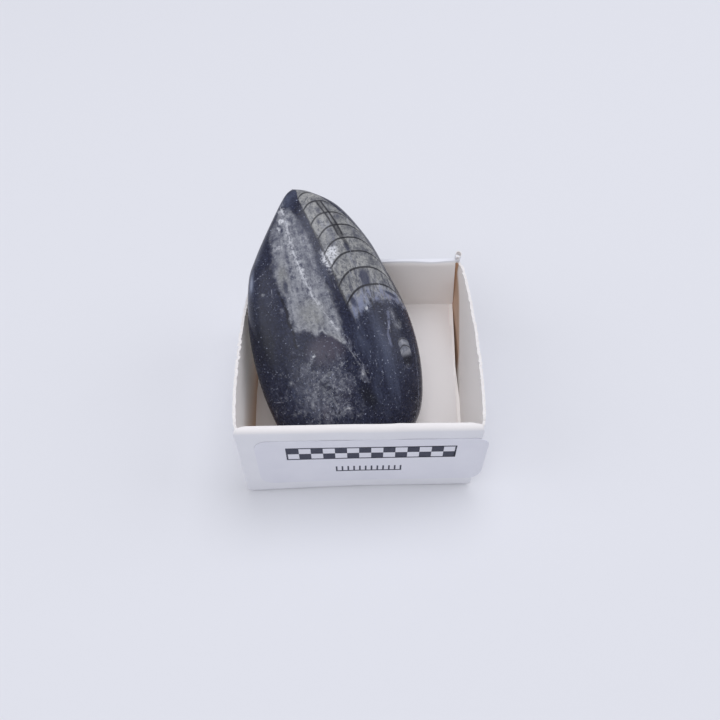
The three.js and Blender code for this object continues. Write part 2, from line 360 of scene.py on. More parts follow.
def buildStone(materials):
    local = stonePoints()
    x, y, z = local.T
    # the underside cuts the same shells lower down, so they drift sideways with depth
    px = x + stone["underDrift"] * np.minimum(z, 0)
    placing = np.array(stonePlacing())
    placed = (local @ placing[:3, :3].T + placing[:3, 3]) * mm
    obj = meshObject("polishedStone", placed, stoneFaces(), materials)
    mesh = obj.data
    count, across = shellCoordinates(px, y)
    tube = offsetFrom(shell["tubeMiddle"], px, y) / shell["tubeHalfWidth"]
    leftGap = offsetFrom(calcite["leftEdge"], px, y)
    rightGap = -offsetFrom(calcite["rightEdge"], px, y)
    ends = np.array(calcite["lowerEnd"])
    lowerGap = y - np.interp(px, ends[:, 0], ends[:, 1])
    inside = np.minimum(np.minimum(leftGap, rightGap), np.minimum(lowerGap, calcite["top"] - y))
    fields = {
        "stonePoint": local, "chamberCount": count, "acrossShell": across, "acrossTube": np.clip(tube, -6, 6),
        "calciteDepth": np.clip(inside, -8, 8), "calciteFoot": np.clip(lowerGap, -8, 8),
        "scratch": scratchDistance(px, y)}
    for name in ("fibre", "edgeCrack", "chamberCrack", "wispA", "rimGlintLine", "smallShellMiddle"):
        fields[name] = np.clip(offsetFrom(calcite[name], px, y), -9, 9)
    front = np.clip((z + 0.5) / 1.5, 0, 1)
    for name, ovals in clouds.items():
        fields[name + "Cloud"] = cloudField(ovals, px, y) * front
    for name, values in fields.items():
        addAttribute(mesh, name, values)
    shadeSmooth(obj)
    return obj


# polished black Devonian limestone: near-black lime mud with a blue cast, crowded with pale
# calcite crumbs, and smooth enough from polishing to mirror a window softly
limestone = {
    "mud": "#131527", "mudLight": "#2c3046", "haze": "#5b6277", "paintedRimSheen": "#aab0c2", "black": "#0e0f19",
    "calciteDark": "#4f515f", "calcite": "#83858b", "calcitePale": "#a8a9ac", "calciteWarm": "#94948f",
    "white": "#d9dadd", "granular": "#858b9b", "rosy": "#8f8891", "brown": "#55505a",
    "chamberDark": "#5f6064", "chamber": "#929290", "chamberPale": "#b0afa9", "chamberBlue": "#7c829b",
    "wall": "#1a1a20", "crack": "#191922", "wisp": "#7c8198", "rimGlint": "#7a7f92",
    "smallShellDark": "#6b6e79", "smallShell": "#a3a4a8", "scratchTint": "#a0a2ae", "crumb": "#a3a9bb",
    "roughness": 0.2, "polishWear": 0.14, "ior": 1.49, "specular": 0.3,
    # crumbs under 0.3 mm and finer dust, both drawn a little coarse so that they show; each layer
    # has how many fit in a mm, how rare the big ones are, how far sizes spread, and its strength
    "crumbLayers": [(2.1, 6.0, 0.26, 0.75), (3.3, 4.0, 0.3, 0.5)], "crumbBend": 0.55,
    # each grain: bumps per mm, detail, roughness, squeeze along each axis, shift, warp
    "grains": {
        "fine": (2.8, 3.0, 0.65, (1, 1, 1), 0, 0), "medium": (0.9, 4.0, 0.65, (1, 1, 1), 7, 0),
        "blotch": (0.42, 6.0, 0.7, (1.15, 0.75, 1), 17, 0.7),
        "grit": (1.7, 5.0, 0.75, (1.1, 0.7, 1), 47, 0.5),
        "broad": (0.16, 3.0, 0.55, (1, 1, 1), 13, 0), "streaky": (0.7, 4.0, 0.65, (1.3, 0.16, 1), 21, 0),
        "ragged": (1.1, 4.0, 0.65, (1, 1, 1), 31, 0), "wobble": (0.8, 3.0, 0.6, (1, 1, 1), 61, 0),
        "gaps": (1.4, 3.0, 0.6, (1, 1, 1), 71, 0), "upright": (1.1, 4.0, 0.65, (1.5, 0.2, 1), 83, 0),
        "worn": (2.0, 2.0, 0.55, (1, 1, 1), 91, 0), "speck": (3.6, 2.0, 0.6, (1, 1, 1), 103, 0.3),
    },
}


# a mask made by multiplying its terms; a term is a mask, or (value, low, high), which goes
# smoothly from 0 at low to 1 at high
def maskOf(tree, *terms):
    product = None
    for term in terms:
        if isinstance(term, tuple):
            value, low, high = term
            term = addNode(tree, "ShaderNodeMapRange", {"Value": value, "From Min": low, "From Max": high},
                           interpolation_type="SMOOTHSTEP")
        product = term if product is None else addNode(
            tree, "ShaderNodeMath", {0: product, 1: term}, operation="MULTIPLY")
    return product


# moves the edge of a marking in and out by a grain
def wander(tree, value, grain, amount):
    centred = addNode(tree, "ShaderNodeMath", {0: grain, 1: 0.5}, operation="SUBTRACT")
    return addNode(tree, "ShaderNodeMath", {0: centred, 1: amount, 2: value}, operation="MULTIPLY_ADD")


# a thin line where value is near middle
def lineOf(tree, value, middle, width, *terms):
    offset = addNode(tree, "ShaderNodeMath", {0: value, 1: middle}, operation="SUBTRACT")
    distance = addNode(tree, "ShaderNodeMath", {0: offset}, operation="ABSOLUTE")
    return maskOf(tree, (distance, width, width * 0.35), *terms)


# an oval's mask, broken up by a grain
def brokenCloud(tree, cloud, grain, amount, low, high, *terms):
    return maskOf(tree, (wander(tree, cloud, grain, amount), low, high), (cloud, 0.02, 0.2), *terms)


# lays tints over a colour one after another, each by a mask's term and a strength
def layTints(tree, colour, layers):
    for term, tint, strength in layers:
        share = addNode(tree, "ShaderNodeMath", {0: maskOf(tree, term), 1: strength}, operation="MULTIPLY")
        under, over = (toLinear(c) if isinstance(c, str) else c for c in (colour, tint))
        colour = addNode(tree, "ShaderNodeMix", {0: share, 6: under, 7: over}, data_type="RGBA").outputs[2]
    return colour


def polishedLimestone(tree):
    look = limestone
    point = addNode(tree, "ShaderNodeAttribute", attribute_name="stonePoint").outputs["Vector"]
    at = {name: addNode(tree, "ShaderNodeAttribute", attribute_name=name).outputs["Fac"] for name in (
        "chamberCount", "acrossShell", "acrossTube", "calciteDepth", "calciteFoot", "scratch", "fibre",
        "edgeCrack", "chamberCrack", "wispA", "rimGlintLine", "smallShellMiddle",
        *(name + "Cloud" for name in clouds))}
    axes = addNode(tree, "ShaderNodeSeparateXYZ", {0: point})
    along, depth = axes.outputs[1], axes.outputs[2]
    grain = {}
    for name, (scale, detail, rough, squeeze, shift, warp) in look["grains"].items():
        placed = addNode(tree, "ShaderNodeMapping", {
            "Vector": point, "Location": (shift, shift * 0.7, -shift), "Scale": squeeze})
        grain[name] = addNode(tree, "ShaderNodeTexNoise", {
            "Vector": placed, "Scale": scale, "Detail": detail, "Roughness": rough,
            "Distortion": warp}).outputs["Fac"]
    fine, medium, blotch, grit = grain["fine"], grain["medium"], grain["blotch"], grain["grit"]
    speck, streaky, ragged, upright = grain["speck"], grain["streaky"], grain["ragged"], grain["upright"]
    haze, pale, shade = at["hazeCloud"], at["paleCloud"], at["shadeCloud"]
    front = maskOf(tree, (depth, 0.0, 1.0))

    # dark lime mud, with mottled calcite in the foot and a painted highlight on the left rim
    body = layTints(tree, look["mud"], [
        ((fine, 0.36, 0.72), look["mudLight"], 1.0),
        ((grain["broad"], 0.45, 0.72), look["haze"], 0.09),
        ((streaky, 0.5, 0.78), look["haze"], 0.12),
        (brokenCloud(tree, haze, streaky, 1.1, 0.12, 1.1), look["haze"], 0.62),
        # painted highlight: where the haze ovals pass 0.8, on the left rim, a pale blue-white stands in for a
        # reflection
        ((haze, 0.8, 1.5), look["paintedRimSheen"], 0.6),
        (brokenCloud(tree, at["warmCloud"], blotch, 0.7, 0.25, 0.9), look["brown"], 0.75),
        (brokenCloud(tree, pale, blotch, 4.2, 0.45, 1.0), look["calciteDark"], 0.72),
        (brokenCloud(tree, pale, medium, 4.8, 0.8, 1.5), look["calcite"], 0.5),
        (brokenCloud(tree, pale, blotch, 4.5, 0.6, 1.4, (grit, 0.52, 0.66)), look["calcitePale"], 0.6),
        (brokenCloud(tree, pale, blotch, 3.0, 0.3, 0.9, (grit, 0.48, 0.37)), look["black"], 0.7),
        (brokenCloud(tree, at["granularCloud"], grit, 2.6, 0.3, 0.9), look["granular"], 0.85),
        (brokenCloud(tree, at["rosyCloud"], grit, 2.4, 0.3, 0.9), look["rosy"], 0.8),
        (brokenCloud(tree, at["darkCloud"], blotch, 0.9, 0.25, 0.9), look["black"], 0.8)])

    # pale crumbs scattered through the mud, uneven in size and shape, and finer dust between them
    bend = addNode(tree, "ShaderNodeTexNoise", {"Vector": point, "Scale": 2.4, "Detail": 2.0})
    bent = addNode(tree, "ShaderNodeVectorMath", {0: bend.outputs["Color"], 1: (look["crumbBend"],) * 3},
                   operation="MULTIPLY")
    bentPoint = addNode(tree, "ShaderNodeVectorMath", {0: point, 1: bent}, operation="ADD")
    crumbLayers = []
    for perMm, rarity, spread, strength in look["crumbLayers"]:
        cells = addNode(tree, "ShaderNodeTexVoronoi", {
            "Vector": bentPoint, "Scale": perMm, "Randomness": 1.0})
        tone = addNode(tree, "ShaderNodeSeparateColor", {0: cells.outputs["Color"]})
        rare = addNode(tree, "ShaderNodeMath", {0: tone, 1: rarity}, operation="POWER")
        size = addNode(tree, "ShaderNodeMath", {0: rare, 1: spread, 2: 0.04}, operation="MULTIPLY_ADD")
        reach = addNode(tree, "ShaderNodeMath", {0: cells.outputs["Distance"], 1: size},
                        operation="DIVIDE")
        crumbMask = maskOf(tree, (reach, 1.3, 0.5), (tone, 0.3, 1.0), (blotch, 0.26, 0.6))
        crumbLayers.append((crumbMask, look["crumb"], strength))
    crumbLayers += [
        ((grit, 0.62, 0.74), look["calcite"], 0.4),
        (brokenCloud(tree, pale, medium, 2.5, 0.2, 1.0, (speck, 0.6, 0.72)), look["calcitePale"], 0.8)]
    body = layTints(tree, body, crumbLayers)

    # grey calcite of the second shell, with a paler rind at its lower end
    calciteMask = maskOf(tree, (wander(tree, at["calciteDepth"], ragged, 2.0), -0.5, 0.8), (depth, -2.5, 0.5))
    grey = layTints(tree, look["calciteDark"], [
        ((medium, 0.36, 0.62), look["calcite"], 1.0),
        ((streaky, 0.42, 0.66), look["calcitePale"], 0.6),
        ((blotch, 0.5, 0.66), look["calciteDark"], 0.6),
        (brokenCloud(tree, at["warmCloud"], blotch, 0.7, 0.25, 0.9), look["calciteWarm"], 0.65),
        (brokenCloud(tree, haze, blotch, 0.9, 0.1, 0.6), look["haze"], 0.5),
        ((grit, 0.46, 0.36), look["calciteDark"], 0.6),
        ((fine, 0.52, 0.76), look["mudLight"], 0.4),
        ((fine, 0.48, 0.3), look["white"], 0.18),
        ((speck, 0.62, 0.74), look["white"], 0.3),
        ((speck, 0.36, 0.26), look["mudLight"], 0.4),
        (brokenCloud(tree, shade, blotch, 1.2, 0.2, 0.7), look["mudLight"], 0.75),
        (lineOf(tree, wander(tree, at["calciteFoot"], ragged, 1.5), 0.2, 0.35, (medium, 0.38, 0.6)),
         look["white"], 0.5)])

    # a white fibre runs the length of the second shell and on into the foot
    fibreWidth = addNode(tree, "ShaderNodeMath", {0: maskOf(tree, (along, 22.0, 36.0)), 1: 0.04, 2: 0.16},
                         operation="MULTIPLY_ADD")
    besideFibre = addNode(tree, "ShaderNodeMath", {0: wander(tree, at["fibre"], grain["wobble"], 0.6)},
                          operation="ABSOLUTE")
    fibreMask = maskOf(tree, (besideFibre, fibreWidth, 0.03), (along, 12.5, 17.0), (grain["gaps"], 0.34, 0.6),
                       (depth, 0.0, 1.5))
    fibreFringe = maskOf(tree, (besideFibre, 1.1, 0.1), (along, 24.0, 30.0), (grit, 0.48, 0.6),
                         (depth, 0.0, 1.5))

    # the main shell's chambers
    count = at["chamberCount"]
    edge = addNode(tree, "ShaderNodeMath", {0: wander(tree, at["acrossShell"], ragged, 0.1)},
                   operation="ABSOLUTE")
    inShell = maskOf(tree, (edge, 1.04, 0.98), (depth, -3.6, -1.6))
    whole = addNode(tree, "ShaderNodeMath", {0: count}, operation="FLOOR")
    seat = addNode(tree, "ShaderNodeMath", {0: whole, 1: 3.3}, operation="ADD")
    chamberTone = addNode(tree, "ShaderNodeTexNoise", {"W": seat, "Scale": 1.7},
                          noise_dimensions="1D").outputs["Fac"]
    lower = maskOf(tree, (wander(tree, count, ragged, 1.2), 6.6, 7.6))
    chamber = layTints(tree, look["chamberDark"], [
        ((medium, 0.34, 0.6), look["chamber"], 1.0),
        ((blotch, 0.44, 0.62), look["chamberPale"], 0.75),
        ((chamberTone, 0.35, 0.65), look["chamberDark"], 0.3),
        ((streaky, 0.5, 0.75), look["chamberBlue"], 0.4),
        ((grit, 0.49, 0.38), look["chamberDark"], 0.9),
        ((fine, 0.5, 0.72), look["mudLight"], 0.6),
        ((speck, 0.4, 0.3), look["mudLight"], 0.55),
        ((speck, 0.66, 0.76), look["white"], 0.3),
        (maskOf(tree, (count, 5.2, 6.2), (upright, 0.48, 0.38)), look["mudLight"], 0.6),
        (maskOf(tree, lower, (upright, 0.4, 0.58)), look["chamberBlue"], 0.85),
        (brokenCloud(tree, shade, blotch, 1.2, 0.2, 0.8), look["mudLight"], 0.85)])
    fade = maskOf(tree, (wander(tree, count, ragged, 1.6), 8.3, 7.4))

    # thin dark chamber walls, 0.2 mm, the shell's own wall, and the siphuncle that crosses them
    toWall = addNode(tree, "ShaderNodeMath", {0: count, 1: 0.5}, operation="PINGPONG")
    tube = addNode(tree, "ShaderNodeMath", {0: at["acrossTube"]}, operation="ABSOLUTE")
    body = layTints(tree, body, [
        (calciteMask, grey, 0.96),
        (fibreFringe, look["white"], 0.5),
        (maskOf(tree, fibreMask, (along, 6.0, 42.0)), look["white"], 0.6),
        (maskOf(tree, inShell, fade), chamber, 0.97),
        (brokenCloud(tree, at["whiteCloud"], medium, 1.9, 0.15, 0.9, (fine, 0.64, 0.44)),
         look["white"], 0.85),
        (maskOf(tree, (toWall, 0.085, 0.032), (count, -0.5, -0.4), (count, 7.5, 7.4), inShell),
         look["wall"], 0.92),
        (lineOf(tree, edge, 1.0, 0.05, (count, 7.8, 7.0), (depth, -3.0, -1.0)), look["wall"], 0.6),
        (lineOf(tree, tube, 0.85, 0.5, (along, 39.2, 39.8), (along, 47.0, 46.7)), look["wall"], 0.85),
        (maskOf(tree, (tube, 1.0, 0.6), (along, 35.8, 38.4), (along, 42.6, 41.6)), look["wall"], 0.6),
        (maskOf(tree, (tube, 1.0, 0.6), (along, 41.4, 42.6), (along, 47.0, 46.7), (grit, 0.35, 0.6)),
         look["wall"], 0.45)])

    # cracks, wisps, and a painted highlight line along the right rim
    marks = []
    for name, width, tint, strength, low, high in (
            ("edgeCrack", 0.3, "crack", 0.85, 20.5, 31.5), ("chamberCrack", 0.17, "crack", 0.8, 24.6, 29.2),
            ("wispA", 0.3, "wisp", 0.5, 18.0, 25.0), ("rimGlintLine", 0.14, "rimGlint", 0.5, 5.5, 18.5)):
        wandering = wander(tree, at[name], ragged, 0.7)
        marks.append((lineOf(tree, wandering, 0.0, width, (along, low, low + 0.8), (along, high, high - 0.5),
                             (grain["gaps"], 0.3, 0.5), front),
                      look[tint], strength))

    # a small shell near the rim: chambers, then a dark rounded living chamber
    smallOffset = wander(tree, at["smallShellMiddle"], ragged, 0.25)
    smallSide = addNode(tree, "ShaderNodeMath", {0: smallOffset}, operation="ABSOLUTE")
    smallSquare = addNode(tree, "ShaderNodeMath", {0: smallOffset, 1: 2.0}, operation="POWER")
    smallAlong = addNode(tree, "ShaderNodeMath", {0: smallSquare, 1: 0.55, 2: along},
                         operation="MULTIPLY_ADD")
    smallFoot = addNode(tree, "ShaderNodeMath", {0: smallSquare, 1: -0.7, 2: along},
                        operation="MULTIPLY_ADD")
    smallMask = maskOf(tree, (smallSide, 1.15, 0.95), (along, 15.9, 17.2), (smallAlong, 19.8, 19.5), front)
    smallFill = layTints(tree, look["smallShellDark"], [((medium, 0.35, 0.7), look["smallShell"], 1.0)])
    marks += [
        (maskOf(tree, (smallSide, 1.1, 0.7), (smallFoot, 13.9, 15.0), (along, 17.4, 15.9), front),
         look["black"], 0.7),
        (lineOf(tree, smallFoot, 14.0, 0.16, (smallSide, 1.3, 0.9), (along, 15.6, 14.8), (ragged, 0.35, 0.6),
                front), look["wisp"], 0.3),
        (smallMask, smallFill, 0.85)]
    for crest in calcite["smallCrests"]:
        marks.append((lineOf(tree, smallAlong, crest, 0.2, smallMask), look["wall"], 0.8))
    scratched = maskOf(tree, (at["scratch"], 0.13, 0.03), (grain["worn"], 0.35, 0.55), front)
    marks.append((scratched, look["scratchTint"], 0.55))
    body = layTints(tree, body, marks)

    gloss = addNode(tree, "ShaderNodeMath", {0: medium, 1: look["polishWear"], 2: look["roughness"]},
                    operation="MULTIPLY_ADD")
    bump = addNode(tree, "ShaderNodeBump", {"Strength": 0.12, "Distance": 0.04 * mm, "Height": fine})
    return {
        "Base Color": body, "Roughness": gloss, "IOR": look["ior"], "Normal": bump,
        "Specular IOR Level": look["specular"]}


# white clay-coated box board, calendered: an even, faintly mottled white with a low sheen
board = {
    # the inside white is the warm uncoated side, painted lighter than the face to lift the shade inside the
    # tray; the brown after it is painted shade for seams and gaps
    "face": "#ebebef", "faceShade": "#e7e7eb", "inner": "#faf5f1", "bare": "#c49c7c",
    "cut": [(0.3, "#d9d2cc"), (0.5, "#ebe7e3"), (0.7, "#f6f4f2")],
    "roughness": 0.52, "specular": 0.35, "ior": 1.5, "glow": 0.11,
    "cloudPerMm": 0.13, "fibrePerMm": 4.0, "cutFibrePerMm": 6.0,
}


def coatedBoard(tree):
    where = addNode(tree, "ShaderNodeTexCoord").outputs["Object"]
    cloud = addNode(tree, "ShaderNodeTexNoise", {
        "Vector": where, "Scale": board["cloudPerMm"] / mm, "Detail": 3.0})
    grain = addNode(tree, "ShaderNodeTexNoise", {
        "Vector": where, "Scale": board["fibrePerMm"] / mm, "Detail": 2.0})
    mottle = addNode(tree, "ShaderNodeMapRange", {
        "Value": cloud.outputs["Fac"], "From Min": 0.35, "From Max": 0.7})
    # the side turned inwards is a warmer uncoated white, painted lighter than the face to lift its shade, and
    # a painted shade of warm brown deep in the seams and gaps
    bare = addNode(tree, "ShaderNodeAttribute", attribute_name="bareBoard").outputs["Fac"]
    inward = addNode(tree, "ShaderNodeMapRange", {"Value": bare, "From Max": 0.5})
    seamShade = addNode(tree, "ShaderNodeMapRange", {"Value": bare, "From Min": 0.5})
    colour = layTints(tree, board["face"], [
        (mottle, board["faceShade"], 1.0), (inward, board["inner"], 1.0),
        (seamShade, board["bare"], 1.0)])
    bump = addNode(tree, "ShaderNodeBump", {
        "Strength": 0.2, "Distance": 0.03 * mm, "Height": grain.outputs["Fac"]})
    # painted light: the board glows faintly in its own colour, standing in for warm light that reaches the
    # inside
    glowLevel = addNode(tree, "ShaderNodeAttribute", attribute_name="paintedGlow").outputs["Fac"]
    glow = addNode(tree, "ShaderNodeMix", {0: glowLevel, 6: (0, 0, 0, 1), 7: colour}, data_type="RGBA")
    return {
        "Base Color": colour, "Roughness": board["roughness"], "IOR": board["ior"],
        "Specular IOR Level": board["specular"], "Emission Color": glow.outputs[2],
        "Emission Strength": board["glow"], "Normal": bump}


# cut edge of the board: soft, warm, uncoated fibre in thin layers
def rawBoardEdge(tree):
    where = addNode(tree, "ShaderNodeTexCoord").outputs["Object"]
    fibre = addNode(tree, "ShaderNodeTexNoise", {
        "Vector": where, "Scale": board["cutFibrePerMm"] / mm, "Detail": 4.0, "Roughness": 0.7})
    tone = addNode(tree, "ShaderNodeValToRGB", {0: fibre.outputs["Fac"]}, board["cut"])
    bump = addNode(tree, "ShaderNodeBump", {
        "Strength": 0.6, "Distance": 0.06 * mm, "Height": fibre.outputs["Fac"]})
    return {"Base Color": tone, "Roughness": 0.9, "Specular IOR Level": 0.2, "Normal": bump}


# the folded tray, in mm: X to the right, Y to the back, Z up
tray = {
    "width": 40, "depth": 38, "height": 20,
    "card": 0.43, "roll": 0.9, "foldRadius": 0.3, "foldSteps": 6,
    "step": 0.35, "crossCuts": 56, "edgePull": 1.35,  # cuts crowd towards the edges
    "leftBulge": 1.25, "leftFullness": 0.7, "leftBackInset": 1.1,
    "rightFlare": 0.2, "rightBulge": 0.95, "rightFullness": 0.6, "rightEarly": 0.75,
    "wallFoot": 1.5, "wallTop": 19.75, "openHalf": 17.6,
    # the blank: its width, and the heights of the base, the front flap and the liner's foot
    "blankWidth": 39.9, "baseHeight": 0.22, "flapHeight": 0.68, "linerFoot": 1.13,
    # the last of these is the half width within which the flap's top, under the liner, is painted brown as
    # shade
    "flapPressed": -8.6, "flapEnd": 5.0, "flapRise": 3.9, "flapShadeHalf": 18.6,
    "linerFold": 7.7, "linerTouch": -8, "linerEnd": -17.0, "linerBow": 0.18,
    "linerEdge": [(-17, 18.3), (-6.8, 18.66), (3, 19.2), (10, 19.45), (18, 19.64)],  # y, half width
    # small faults: a nick in the front fold, a dip and a dent in the back one (x, reach, size)
    "frontNick": (6.6, 0.9, 0.22), "backDip": (13.4, 3.2, -0.1), "backDent": (14.5, 2.4, -0.25),
    "frontSag": 0.62, "burr": 0.07, "tear": 0.6, "tearMiddle": -3.6, "tearReach": 2.4,
    "curlMiddle": (19.52, 18.3, 21.0), "curlSlant": 68, "curlWidth": 1.5, "curlCard": 0.15,
    "seed": 4,
}


# a Geometry Nodes tree and its inputs; kinds lists the inputs' names by the kind of socket
def newTree(name, kinds, output):
    tree = bpy.data.node_groups.new(name, "GeometryNodeTree")
    for kind, sockets in kinds.items():
        for socket in sockets:
            tree.interface.new_socket(socket, in_out="INPUT", socket_type="NodeSocket" + kind)
    tree.interface.new_socket(output, in_out="OUTPUT", socket_type="NodeSocketGeometry")
    return tree, addNode(tree, "NodeGroupInput").outputs


# ends a tree with its instances made real and given their material
def endTree(tree, shape, material):
    real = addNode(tree, "GeometryNodeRealizeInstances", {0: shape})
    dressed = addNode(tree, "GeometryNodeSetMaterial", {"Geometry": real, "Material": material})
    addNode(tree, "NodeGroupOutput", {0: dressed})
    return tree


# Geometry Nodes: a strip of card along a folded path, with rounded folds
def foldedStripTree():
    tree, given = newTree("foldedStrip", {
        "Geometry": ["Path"], "Float": ["Strip width", "Fold radius", "Step"],
        "Int": ["Fold steps", "Cross cuts"], "Material": ["Card"]}, "Strip")
    folded = addNode(tree, "GeometryNodeFilletCurve", {
        "Curve": given["Path"], "Count": given["Fold steps"], "Radius": given["Fold radius"],
        "Limit Radius": True}, mode="POLY")
    even = addNode(tree, "GeometryNodeResampleCurve", {
        "Curve": folded, "Length": given["Step"]}, mode="LENGTH")
    half = addNode(tree, "ShaderNodeMath", {0: given["Strip width"], 1: 0.5}, operation="MULTIPLY")
    minus = addNode(tree, "ShaderNodeMath", {0: half, 1: -1.0}, operation="MULTIPLY")
    start = addNode(tree, "ShaderNodeCombineXYZ", {0: minus})
    end = addNode(tree, "ShaderNodeCombineXYZ", {0: half})
    line = addNode(tree, "GeometryNodeCurvePrimitiveLine", {"Start": start, "End": end})
    cuts = addNode(tree, "GeometryNodeResampleCurve", {"Curve": line, "Count": given["Cross cuts"]})
    sheet = addNode(tree, "GeometryNodeCurveToMesh", {"Curve": even, "Profile Curve": cuts})
    return endTree(tree, sheet, given["Card"])


# sets a Geometry Nodes modifier's inputs by their names
def setInputs(modifier, values):
    for item in modifier.node_group.interface.items_tree:
        if item.item_type == "SOCKET" and item.in_out == "INPUT" and item.name in values:
            modifier[item.identifier] = values[item.name]


# path is a list of (y, z) in mm, the strip's width runs along X, place moves the finished points
# to where they belong, in mm, and materials are the card's face and its cut edge
def foldStrip(name, path, width, place, materials, strip, thickness, foldRadius, cuts):
    curve = bpy.data.curves.new(name, "CURVE")
    curve.dimensions = "3D"
    spline = curve.splines.new("POLY")
    spline.points.add(len(path) - 1)
    for point, (y, z) in zip(spline.points, path):
        point.co = (0, y * mm, z * mm, 1)
    obj = bpy.data.objects.new(name, curve)
    bpy.context.scene.collection.objects.link(obj)
    modifier = obj.modifiers.new("fold", "NODES")
    modifier.node_group = strip
    setInputs(modifier, {
        "Strip width": width * mm, "Fold radius": foldRadius * mm, "Step": tray["step"] * mm,
        "Fold steps": tray["foldSteps"], "Cross cuts": cuts, "Card": materials[0]})
    sheet = makePlain(obj)
    writePoints(sheet.data, place(readPoints(sheet.data) / mm) * mm)
    sheet.data.materials.clear()
    for material in materials:
        sheet.data.materials.append(material)
    solid = sheet.modifiers.new("thickness", "SOLIDIFY")
    solid.thickness = thickness * mm
    solid.offset = 0
    solid.use_even_offset = False
    solid.material_offset_rim = 1
    solid.use_rim = True
    card = makePlain(sheet)
    shadeSmooth(card, 40)
    return card


# insideRule gives each point two values: how far it is tinted, from 0 on the coated outside over
# 0.5 on the side turned inwards to 1 where warm brown shade is painted deep in a seam, and how strongly it is
# painted to glow
def markInside(card, insideRule):
    mesh = card.data
    bare, glowLevel = insideRule(readPoints(mesh) / mm, readPoints(mesh, "normal"))
    addAttribute(mesh, "bareBoard", bare)
    addAttribute(mesh, "paintedGlow", glowLevel)


# how far a wall has leaned at a height: nothing up to its foot, all of it at the top
def lean(z):
    return np.maximum(0, z - tray["wallFoot"]) / (tray["height"] - tray["wallFoot"])


# soft unevenness over a surface with coordinates a and b
def waves(a, b, seed, size):
    rng = random.Random(seed)
    total = np.zeros_like(a)
    for k in range(5):
        phase, angle = rng.uniform(0, 6.28), rng.uniform(0, 3.14)
        frequency = rng.uniform(0.12, 0.42)
        total += np.sin(frequency * (a * math.cos(angle) + b * math.sin(angle)) * 2 + phase)
    return total * size / 5


# a small hollow or bump with a soft edge
def dent(x, fault):
    middle, reach, size = fault
    return size * np.exp(-((x - middle) / reach) ** 2)


# how far the front face has sagged outwards at its lower left corner, with the label on it
def frontSag(x, z):
    return tray["frontSag"] * np.clip(-x / 20, 0, 1) ** 1.2 * np.clip((15 - z) / 15, 0, 1)


